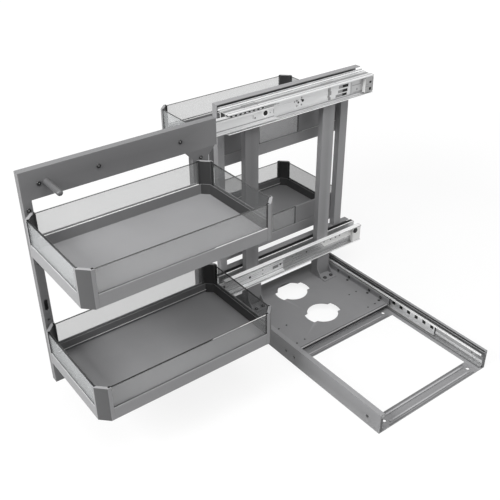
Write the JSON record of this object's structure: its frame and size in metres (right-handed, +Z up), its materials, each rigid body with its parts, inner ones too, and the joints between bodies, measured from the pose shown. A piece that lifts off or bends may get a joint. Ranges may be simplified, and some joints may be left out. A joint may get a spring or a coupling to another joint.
{
  "type": "blind corner pull-out organizer",
  "caption": "Blind corner pull-out organizer: floor frame on ball slides, carriage with posts, and glass-sided tray baskets that slide sideways on telescopic slides.",
  "frame": {"origin": "centre of the floor frame at floor level, which is the centre of its four outermost floor screw holes", "axes": "+Z up, +X to the right along the sideways travel, +Y to the rear along the pull-out travel (the door side of the cabinet)"},
  "size_m": [0.909, 0.7875, 0.555],
  "materials": {
    "grey paint": "satin powder coat",
    "zinc": "bright zinc plate",
    "black screws": "black coated, half gloss",
    "tinted glass": "grey tinted, clear",
    "light plastic": "satin",
    "black rubber": "matte"
  },
  "bodies": {
    "floor_frame": {"left_floor_rail": "grey paint", "right_floor_rail": "grey paint", "front_cross_bar": "grey paint", "middle_cross_bar": "grey paint", "rear_cross_bar": "grey paint", "left_floor_slide": "zinc", "right_floor_slide": "zinc", "floor_slide_rivets": "black screws"},
    "floor_ball_cages": {"left_floor_ball_cage": "zinc", "right_floor_ball_cage": "zinc"},
    "carriage": {"carriage_plate": "grey paint", "left_carriage_runner": "zinc", "right_carriage_runner": "zinc", "carriage_screws": "black screws", "left_post": "grey paint", "right_post": "grey paint", "left_post_foot": "grey paint", "right_post_foot": "grey paint", "foot_screws": "black screws", "front_upper_slide": "zinc", "front_lower_slide": "zinc", "rear_upper_slide": "zinc", "rear_lower_slide": "zinc", "slide_screws": "zinc", "soft_close_units": "light plastic", "end_stops": "light plastic", "end_bumpers": "black rubber"},
    "front_outer_cages": {"front_outer_ball_cages": "zinc"},
    "front_middle_slides": {"front_upper_middle_slide": "zinc", "front_lower_middle_slide": "zinc"},
    "front_inner_cages": {"front_inner_ball_cages": "zinc"},
    "front_unit": {"front_top_rail": "grey paint", "front_lower_rail": "grey paint", "front_left_upright": "grey paint", "front_right_upright": "grey paint", "front_upper_runner": "zinc", "front_lower_runner": "zinc", "front_peg": "grey paint", "front_frame_screws": "black screws", "front_upper_tray": "grey paint", "front_lower_tray": "grey paint", "front_glass": "tinted glass", "front_corner_posts": "grey paint"},
    "rear_outer_cages": {"rear_outer_ball_cages": "zinc"},
    "rear_middle_slides": {"rear_upper_middle_slide": "zinc", "rear_lower_middle_slide": "zinc"},
    "rear_inner_cages": {"rear_inner_ball_cages": "zinc"},
    "rear_unit": {"rear_top_rail": "grey paint", "rear_lower_rail": "grey paint", "rear_left_upright": "grey paint", "rear_right_upright": "grey paint", "rear_upper_runner": "zinc", "rear_lower_runner": "zinc", "rear_frame_screws": "black screws", "rear_upper_tray": "grey paint", "rear_lower_tray": "grey paint", "rear_glass": "tinted glass", "rear_corner_posts": "grey paint", "rear_wall_plates": "grey paint"}
  },
  "joints": [
    {"name": "carriage_pull_out", "type": "slide", "parent": "floor_frame", "child": "carriage", "axis": [0, 1, 0], "range_m": [-0.27, 0]},
    {"name": "floor_cage_travel", "type": "slide", "parent": "floor_frame", "child": "floor_ball_cages", "axis": [0, 1, 0], "range_m": [-0.135, 0]},
    {"name": "front_unit_sideways", "type": "slide", "parent": "carriage", "child": "front_unit", "axis": [1, 0, 0], "range_m": [0, 0.468]},
    {"name": "front_middle_slide_travel", "type": "slide", "parent": "carriage", "child": "front_middle_slides", "axis": [1, 0, 0], "range_m": [0, 0.234]},
    {"name": "front_outer_cage_travel", "type": "slide", "parent": "carriage", "child": "front_outer_cages", "axis": [1, 0, 0], "range_m": [0, 0.117]},
    {"name": "front_inner_cage_travel", "type": "slide", "parent": "carriage", "child": "front_inner_cages", "axis": [1, 0, 0], "range_m": [0, 0.351]},
    {"name": "rear_unit_sideways", "type": "slide", "parent": "carriage", "child": "rear_unit", "axis": [1, 0, 0], "range_m": [-0.468, 0]},
    {"name": "rear_middle_slide_travel", "type": "slide", "parent": "carriage", "child": "rear_middle_slides", "axis": [1, 0, 0], "range_m": [-0.234, 0]},
    {"name": "rear_outer_cage_travel", "type": "slide", "parent": "carriage", "child": "rear_outer_cages", "axis": [1, 0, 0], "range_m": [-0.117, 0]},
    {"name": "rear_inner_cage_travel", "type": "slide", "parent": "carriage", "child": "rear_inner_cages", "axis": [1, 0, 0], "range_m": [-0.351, 0]}
  ],
  "couplings": [
    {"joint": "floor_cage_travel", "follows": "carriage_pull_out", "ratio": 0.5},
    {"joint": "front_middle_slide_travel", "follows": "front_unit_sideways", "ratio": 0.5},
    {"joint": "front_outer_cage_travel", "follows": "front_unit_sideways", "ratio": 0.25},
    {"joint": "front_inner_cage_travel", "follows": "front_unit_sideways", "ratio": 0.75},
    {"joint": "rear_middle_slide_travel", "follows": "rear_unit_sideways", "ratio": 0.5},
    {"joint": "rear_outer_cage_travel", "follows": "rear_unit_sideways", "ratio": 0.25},
    {"joint": "rear_inner_cage_travel", "follows": "rear_unit_sideways", "ratio": 0.75}
  ]
}
